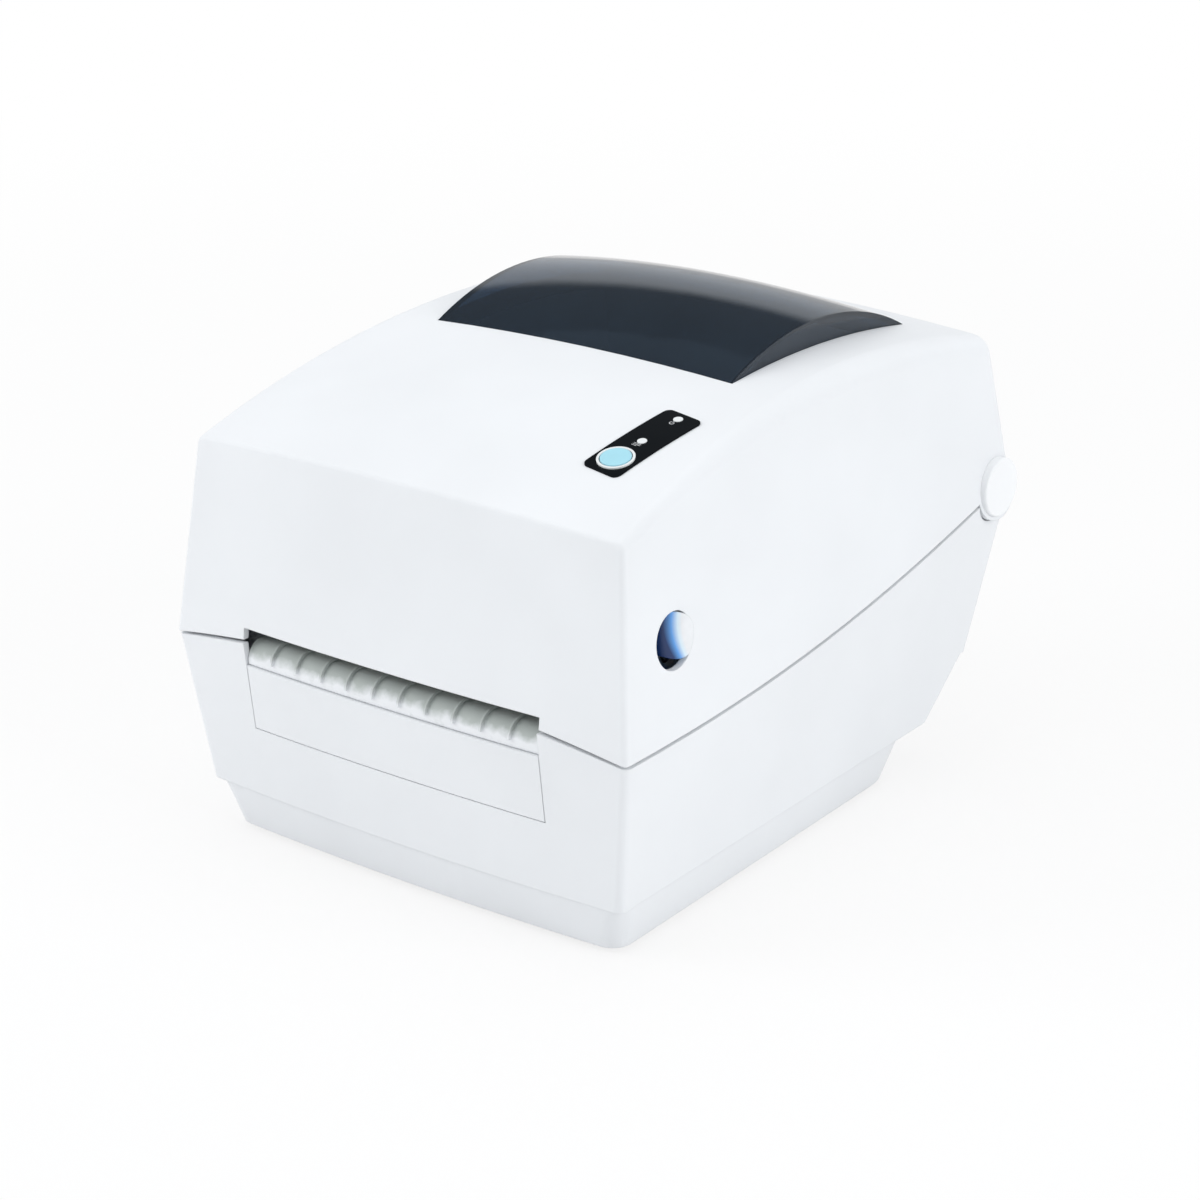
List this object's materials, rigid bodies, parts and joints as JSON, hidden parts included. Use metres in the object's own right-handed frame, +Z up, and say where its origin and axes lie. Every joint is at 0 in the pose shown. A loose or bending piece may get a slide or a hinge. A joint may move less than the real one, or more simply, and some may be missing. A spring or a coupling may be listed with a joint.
{
  "type": "thermal label printer",
  "caption": "Desktop label printer with a tall rear-hinged lid, smoked window, side latches, front paper slot, platen drive, ribbon spindles and roll holders.",
  "frame": {"origin": "on the surface that the feet stand on, under the middle of the case", "axes": "+X to the right seen from the front, +Y to the back, +Z up"},
  "size_m": [0.2038, 0.2504, 0.1921],
  "materials": {
    "white_shell": "fine satin",
    "grey_plastic": "satin",
    "dark_plastic": "satin",
    "smoked_window": "polished, see-through",
    "strip_black": "semi-gloss film",
    "button_cyan": "satin",
    "ring_white": "gloss",
    "latch_blue": "gloss",
    "steel": "brushed",
    "brass": "machined",
    "aluminium": "extruded",
    "gear_white": "moulded",
    "platen_rubber": "ground",
    "foot_rubber": "moulded",
    "board_green": "solder mask",
    "head_ceramic": "glazed line",
    "motor_black": "powder"
  },
  "bodies": {
    "base": {"bottom_tray": "white_shell", "rubber_feet": "foot_rubber", "case_screws": "steel", "lower_case": "white_shell", "front_bezel": "white_shell", "paper_guide": "white_shell", "chassis": "steel", "chassis_screws": "steel", "platen_bearings": "brass", "idler_axle": "steel", "stepper_motor": "motor_black", "sensor_rail": "dark_plastic", "media_bay": "grey_plastic", "hinge_barrel": "white_shell", "hinge_pins": "steel", "catch_pins": "steel", "main_board": "board_green", "port_board": "board_green", "port_plate": "dark_plastic", "usb_socket": "steel", "power_inlet": "dark_plastic", "switch_body": "dark_plastic"},
    "lid": {"lid_shell": "white_shell", "lid_window": "smoked_window", "control_strip": "strip_black", "button_ring": "ring_white", "indicator_lights": "ring_white", "panel_board": "board_green", "ribbon_frame": "grey_plastic", "frame_screws": "steel", "head_springs": "steel", "tear_bar": "steel", "ribbon_gear_axle": "steel", "hinge_caps": "white_shell"},
    "latch": {"latch_shaft": "steel", "latch_lever_right": "latch_blue", "latch_lever_left": "latch_blue", "latch_hooks": "steel"},
    "button": {"feed_button": "button_cyan"},
    "head": {"print_head": "head_ceramic", "heat_sink": "aluminium"},
    "supply": {"ribbon_supply_spindle": "gear_white"},
    "takeup": {"ribbon_takeup_spindle": "gear_white", "takeup_gear": "gear_white"},
    "ribbon_idler": {"ribbon_idler_gear": "gear_white"},
    "platen": {"platen_shaft": "steel", "platen_roller": "platen_rubber", "platen_gear": "gear_white"},
    "idler": {"idler_gear": "gear_white"},
    "motor_rotor": {"motor_pinion": "brass"},
    "sensor": {"gap_sensor": "dark_plastic"},
    "holder_left": {"roll_holder_left": "dark_plastic"},
    "holder_right": {"roll_holder_right": "dark_plastic"},
    "holder_gear": {"holder_pinion": "gear_white"},
    "rocker": {"power_switch": "strip_black"}
  },
  "joints": [
    {"name": "lid_hinge", "type": "hinge", "parent": "base", "child": "lid", "pos_m": [0, 0.1125, 0.11099], "axis": [-1, 0, 0], "range_deg": [0, 88]},
    {"name": "latch_turn", "type": "hinge", "parent": "lid", "child": "latch", "pos_m": [0, -0.0795, 0.1], "axis": [1, 0, 0], "range_deg": [0, 12], "stiffness_Nm_per_rad": 0.6, "springref_deg": -5.73},
    {"name": "button_press", "type": "slide", "parent": "lid", "child": "button", "axis": [-0.0567, 0.2652, -0.9625], "range_m": [0, 0.0008], "stiffness_N_per_m": 600, "springref_m": -0.0005},
    {"name": "head_float", "type": "slide", "parent": "lid", "child": "head", "axis": [0, 0, 1], "range_m": [0, 0.0015], "stiffness_N_per_m": 3000, "springref_m": -0.001, "deforming": ["head_springs"]},
    {"name": "supply_spin", "type": "hinge", "parent": "lid", "child": "supply", "pos_m": [0, -0.0455, 0.113], "axis": [1, 0, 0], "continuous": true},
    {"name": "takeup_spin", "type": "hinge", "parent": "lid", "child": "takeup", "pos_m": [0, -0.0755, 0.132], "axis": [1, 0, 0], "continuous": true},
    {"name": "ribbon_idler_spin", "type": "hinge", "parent": "lid", "child": "ribbon_idler", "pos_m": [0, -0.0935, 0.11613], "axis": [1, 0, 0], "continuous": true},
    {"name": "platen_spin", "type": "hinge", "parent": "base", "child": "platen", "pos_m": [0, -0.0985, 0.075], "axis": [1, 0, 0], "continuous": true},
    {"name": "idler_spin", "type": "hinge", "parent": "base", "child": "idler", "pos_m": [0, -0.08153, 0.05803], "axis": [1, 0, 0], "continuous": true},
    {"name": "motor_spin", "type": "hinge", "parent": "base", "child": "motor_rotor", "pos_m": [0, -0.06195, 0.0489], "axis": [1, 0, 0], "continuous": true},
    {"name": "sensor_slide", "type": "slide", "parent": "base", "child": "sensor", "axis": [1, 0, 0], "range_m": [-0.044, 0.044]},
    {"name": "holder_left_slide", "type": "slide", "parent": "base", "child": "holder_left", "axis": [1, 0, 0], "range_m": [0, 0.045]},
    {"name": "holder_right_slide", "type": "slide", "parent": "base", "child": "holder_right", "axis": [-1, 0, 0], "range_m": [0, 0.045]},
    {"name": "holder_gear_turn", "type": "hinge", "parent": "base", "child": "holder_gear", "pos_m": [0, 0.0355, 0.0242], "axis": [0, 0, 1], "range_deg": [0, 288]},
    {"name": "switch_rock", "type": "hinge", "parent": "base", "child": "rocker", "pos_m": [-0.038, 0.115, 0.061], "axis": [1, 0, 0], "range_deg": [0, 12]}
  ],
  "couplings": [
    {"joint": "ribbon_idler_spin", "follows": "takeup_spin", "ratio": -1},
    {"joint": "idler_spin", "follows": "platen_spin", "ratio": -0.66667},
    {"joint": "motor_spin", "follows": "platen_spin", "ratio": 1.3333},
    {"joint": "holder_right_slide", "follows": "holder_left_slide", "ratio": 1},
    {"joint": "holder_gear_turn", "follows": "holder_left_slide", "rad_per_m": 111.11}
  ]
}
